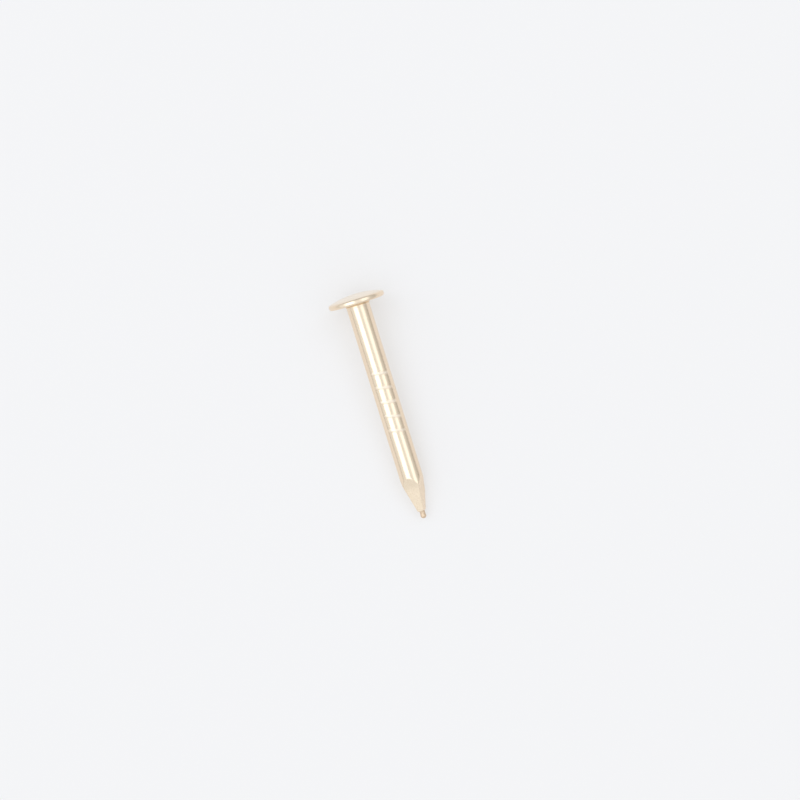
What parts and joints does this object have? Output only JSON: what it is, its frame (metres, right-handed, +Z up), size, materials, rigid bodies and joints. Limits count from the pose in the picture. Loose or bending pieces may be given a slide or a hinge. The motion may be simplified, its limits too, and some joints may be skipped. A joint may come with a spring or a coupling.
{
  "type": "escutcheon pin",
  "caption": "Small brass nail with a shallow domed disc head, ridged grip marks on a round shank and a four-sided point, for fixing small plates and fittings to wood.",
  "frame": {"origin": "on the surface that the pin lies on, under the middle of its length", "axes": "+X from the head towards the point, +Z up, with the pin lying on its head's rim and its point's shoulder, so its own axis falls by about 5 degrees towards +X"},
  "size_m": [0.0124, 0.003, 0.003],
  "materials": {
    "brass": "bright drawn wire with fine die lines, and a duller torn tip"
  },
  "bodies": {
    "root": {"escutcheon_pin": "brass"}
  },
  "joints": []
}
